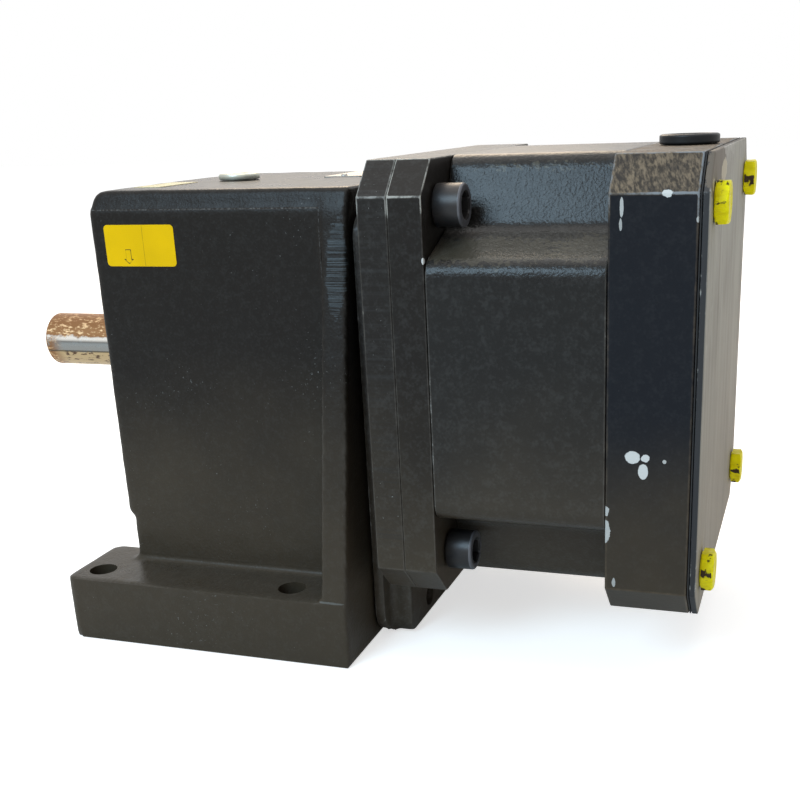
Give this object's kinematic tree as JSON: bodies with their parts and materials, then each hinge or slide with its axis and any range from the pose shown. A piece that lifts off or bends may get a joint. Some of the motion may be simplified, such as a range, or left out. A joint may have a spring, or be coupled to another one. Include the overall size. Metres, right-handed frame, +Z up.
{
  "type": "foot-mounted helical gearmotor",
  "caption": "Foot-mounted inline helical gearmotor: black cast gear case with a bare output shaft, and a short square motor with a flat rear cover.",
  "frame": {"origin": "on the foot plane, in the middle of the four foot holes, under the output shaft's axis", "axes": "-X out of the output shaft, +X out of the motor's rear cover, +Z up from the foot"},
  "size_m": [0.3723, 0.204, 0.2298],
  "materials": {
    "casing": "black paint with an orange-peel surface over a rough casting",
    "cover": "black paint over a casting",
    "adapter": "matt black paint over a sawn, finely striated steel plate",
    "motor_housing": "smooth black paint, hammered in the screw channels",
    "rear_plate": "bare, pale grey and streaked",
    "gasket": "dark gasket paper",
    "black_screw": "black oxide, lightly oiled",
    "yellow_bolt": "yellow sealing paint, worn to dark steel in patches",
    "plug": "zinc plated, slightly yellowed",
    "cap": "matt black plastic",
    "seal": "matt black rubber",
    "shaft": "ground steel with orange-brown flash rust",
    "gear": "ground gear steel with an oil film",
    "bearing": "polished bearing steel",
    "laminations": "stacked electrical steel",
    "windings": "varnished copper wire",
    "magnets": "nickel plated",
    "circuit_board": "green circuit board",
    "terminal": "black moulded plastic"
  },
  "bodies": {
    "housing": {"gear_case": "casing", "input_cover": "cover", "adapter_plate": "adapter", "motor_flange": "motor_housing", "motor_barrel": "motor_housing", "rear_block": "motor_housing", "rear_cover": "rear_plate", "case_gasket": "gasket", "rear_gasket": "gasket", "filler_plug": "plug", "cable_entry_cap": "cap", "output_seal": "seal", "rotor_seal": "seal", "bearing_spacer": "shaft", "bearing_circlip": "black_screw", "stator_core": "laminations", "stator_windings": "windings", "terminal_block": "terminal", "encoder_board": "circuit_board", "flange_screw_1": "black_screw", "flange_screw_2": "black_screw", "flange_screw_3": "black_screw", "flange_screw_4": "black_screw", "rear_bolt_1": "yellow_bolt", "rear_bolt_2": "yellow_bolt", "rear_bolt_3": "yellow_bolt", "rear_bolt_4": "yellow_bolt", "output_front_bearing_outer": "bearing", "output_front_bearing_cage": "bearing", "output_rear_bearing_outer": "bearing", "output_rear_bearing_cage": "bearing", "layshaft_front_bearing_outer": "bearing", "layshaft_front_bearing_cage": "bearing", "layshaft_rear_bearing_outer": "bearing", "layshaft_rear_bearing_cage": "bearing", "rotor_front_bearing_outer": "bearing", "rotor_front_bearing_cage": "bearing", "rotor_rear_bearing_outer": "bearing", "rotor_rear_bearing_cage": "bearing"},
    "output": {"output_shaft": "shaft", "output_key": "black_screw", "output_gear": "gear", "gear_spacer": "shaft", "gear_circlip": "black_screw", "output_front_bearing_inner": "bearing", "output_rear_bearing_inner": "bearing"},
    "layshaft": {"layshaft": "gear", "layshaft_key": "black_screw", "layshaft_gear": "gear", "layshaft_spacer": "shaft", "layshaft_front_bearing_inner": "bearing", "layshaft_rear_bearing_inner": "bearing"},
    "rotor": {"rotor_shaft": "shaft", "motor_pinion": "gear", "rotor_core": "laminations", "rotor_magnets": "magnets", "encoder_disc": "circuit_board", "rotor_front_bearing_inner": "bearing", "rotor_rear_bearing_inner": "bearing"}
  },
  "joints": [
    {"name": "output_spin", "type": "hinge", "parent": "housing", "child": "output", "pos_m": [0, 0, 0.13], "axis": [1, 0, 0], "continuous": true},
    {"name": "layshaft_spin", "type": "hinge", "parent": "housing", "child": "layshaft", "pos_m": [0, 0, 0.068], "axis": [1, 0, 0], "continuous": true},
    {"name": "rotor_spin", "type": "hinge", "parent": "housing", "child": "rotor", "pos_m": [0, 0, 0.13], "axis": [1, 0, 0], "continuous": true}
  ],
  "couplings": [
    {"joint": "layshaft_spin", "follows": "output_spin", "ratio": -2.9231},
    {"joint": "rotor_spin", "follows": "output_spin", "ratio": 8.978}
  ]
}
